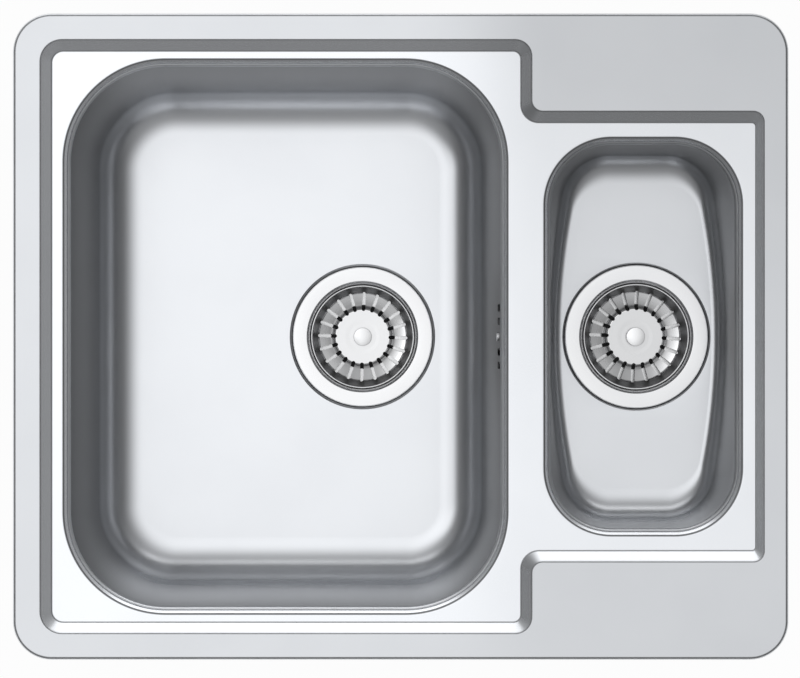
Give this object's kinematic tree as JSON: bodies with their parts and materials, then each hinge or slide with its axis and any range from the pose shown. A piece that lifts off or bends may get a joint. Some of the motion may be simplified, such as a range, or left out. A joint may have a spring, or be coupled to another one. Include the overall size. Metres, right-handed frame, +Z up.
{
  "type": "kitchen sink",
  "caption": "Inset stainless kitchen sink: a large and a small bowl in a pressed deck, each with a lift-out strainer, with overflow, wastes and worktop clips.",
  "frame": {"origin": "centre of the sink on the worktop: the plane of the rim's turned-down edge and of the seal's underside", "axes": "+X to the right towards the small bowl, +Y to the rear, +Z up out of the worktop"},
  "size_m": [0.6, 0.5, 0.251],
  "materials": {
    "satin_steel": "satin, finely brushed",
    "polished_steel": "polished",
    "turned_steel": "turned",
    "zinc_plate": "zinc plated",
    "black_rubber": "matte",
    "foam_seal": "closed-cell foam",
    "moulded_plastic": "moulded, fine texture",
    "hose_plastic": "ribbed, slightly glossy",
    "brass": "turned",
    "damping_pad": "bitumen felt"
  },
  "bodies": {
    "sink": {"deck": "satin_steel", "main_bowl": "satin_steel", "small_bowl": "satin_steel", "rim_seal": "foam_seal", "clip_brackets": "zinc_plate", "main_damping_pad": "damping_pad", "small_damping_pad": "damping_pad", "main_waste_flange": "polished_steel", "main_flange_gasket": "black_rubber", "main_body_gasket": "black_rubber", "main_waste_body": "moulded_plastic", "main_clamp_screw": "turned_steel", "main_clamp_insert": "brass", "small_waste_flange": "polished_steel", "small_flange_gasket": "black_rubber", "small_body_gasket": "black_rubber", "small_waste_body": "moulded_plastic", "small_clamp_screw": "turned_steel", "small_clamp_insert": "brass", "overflow_gasket": "black_rubber", "overflow_head": "moulded_plastic", "overflow_screw": "turned_steel", "overflow_hose": "hose_plastic", "hose_clip_top": "zinc_plate", "hose_clip_low": "zinc_plate"},
    "main_basket": {"main_basket_cup": "polished_steel", "main_basket_knob": "polished_steel", "main_basket_stem": "turned_steel", "main_basket_nut": "turned_steel", "main_basket_plug": "black_rubber"},
    "small_basket": {"small_basket_cup": "polished_steel", "small_basket_knob": "polished_steel", "small_basket_stem": "turned_steel", "small_basket_nut": "turned_steel", "small_basket_plug": "black_rubber"},
    "clip_1_screw": {"clip_1_screw": "zinc_plate"},
    "clip_1_claw": {"clip_1_claw": "zinc_plate"},
    "clip_2_screw": {"clip_2_screw": "zinc_plate"},
    "clip_2_claw": {"clip_2_claw": "zinc_plate"},
    "clip_3_screw": {"clip_3_screw": "zinc_plate"},
    "clip_3_claw": {"clip_3_claw": "zinc_plate"},
    "clip_4_screw": {"clip_4_screw": "zinc_plate"},
    "clip_4_claw": {"clip_4_claw": "zinc_plate"},
    "clip_5_screw": {"clip_5_screw": "zinc_plate"},
    "clip_5_claw": {"clip_5_claw": "zinc_plate"},
    "clip_6_screw": {"clip_6_screw": "zinc_plate"},
    "clip_6_claw": {"clip_6_claw": "zinc_plate"},
    "clip_7_screw": {"clip_7_screw": "zinc_plate"},
    "clip_7_claw": {"clip_7_claw": "zinc_plate"},
    "clip_8_screw": {"clip_8_screw": "zinc_plate"},
    "clip_8_claw": {"clip_8_claw": "zinc_plate"}
  },
  "joints": [
    {"name": "main_basket_lift", "type": "slide", "parent": "sink", "child": "main_basket", "axis": [0, 0, 1], "range_m": [0, 0.22]},
    {"name": "small_basket_lift", "type": "slide", "parent": "sink", "child": "small_basket", "axis": [0, 0, 1], "range_m": [0, 0.145]},
    {"name": "clip_1_screw_travel", "type": "slide", "parent": "sink", "child": "clip_1_screw", "axis": [0, 0, 1], "range_m": [0, 0.0125]},
    {"name": "clip_1_claw_swing", "type": "hinge", "parent": "clip_1_screw", "child": "clip_1_claw", "pos_m": [-0.274, -0.125, -0.05], "axis": [0, 0, 1], "range_deg": [0, 90]},
    {"name": "clip_2_screw_travel", "type": "slide", "parent": "sink", "child": "clip_2_screw", "axis": [0, 0, 1], "range_m": [0, 0.0125]},
    {"name": "clip_2_claw_swing", "type": "hinge", "parent": "clip_2_screw", "child": "clip_2_claw", "pos_m": [0.274, -0.125, -0.05], "axis": [0, 0, 1], "range_deg": [0, 90]},
    {"name": "clip_3_screw_travel", "type": "slide", "parent": "sink", "child": "clip_3_screw", "axis": [0, 0, 1], "range_m": [0, 0.0125]},
    {"name": "clip_3_claw_swing", "type": "hinge", "parent": "clip_3_screw", "child": "clip_3_claw", "pos_m": [-0.18, -0.224, -0.05], "axis": [0, 0, 1], "range_deg": [0, 90]},
    {"name": "clip_4_screw_travel", "type": "slide", "parent": "sink", "child": "clip_4_screw", "axis": [0, 0, 1], "range_m": [0, 0.0125]},
    {"name": "clip_4_claw_swing", "type": "hinge", "parent": "clip_4_screw", "child": "clip_4_claw", "pos_m": [-0.18, 0.224, -0.05], "axis": [0, 0, 1], "range_deg": [0, 90]},
    {"name": "clip_5_screw_travel", "type": "slide", "parent": "sink", "child": "clip_5_screw", "axis": [0, 0, 1], "range_m": [0, 0.0125]},
    {"name": "clip_5_claw_swing", "type": "hinge", "parent": "clip_5_screw", "child": "clip_5_claw", "pos_m": [-0.274, 0.125, -0.05], "axis": [0, 0, 1], "range_deg": [0, 90]},
    {"name": "clip_6_screw_travel", "type": "slide", "parent": "sink", "child": "clip_6_screw", "axis": [0, 0, 1], "range_m": [0, 0.0125]},
    {"name": "clip_6_claw_swing", "type": "hinge", "parent": "clip_6_screw", "child": "clip_6_claw", "pos_m": [0.274, 0.125, -0.05], "axis": [0, 0, 1], "range_deg": [0, 90]},
    {"name": "clip_7_screw_travel", "type": "slide", "parent": "sink", "child": "clip_7_screw", "axis": [0, 0, 1], "range_m": [0, 0.0125]},
    {"name": "clip_7_claw_swing", "type": "hinge", "parent": "clip_7_screw", "child": "clip_7_claw", "pos_m": [0.18, -0.224, -0.05], "axis": [0, 0, 1], "range_deg": [0, 90]},
    {"name": "clip_8_screw_travel", "type": "slide", "parent": "sink", "child": "clip_8_screw", "axis": [0, 0, 1], "range_m": [0, 0.0125]},
    {"name": "clip_8_claw_swing", "type": "hinge", "parent": "clip_8_screw", "child": "clip_8_claw", "pos_m": [0.18, 0.224, -0.05], "axis": [0, 0, 1], "range_deg": [0, 90]}
  ]
}
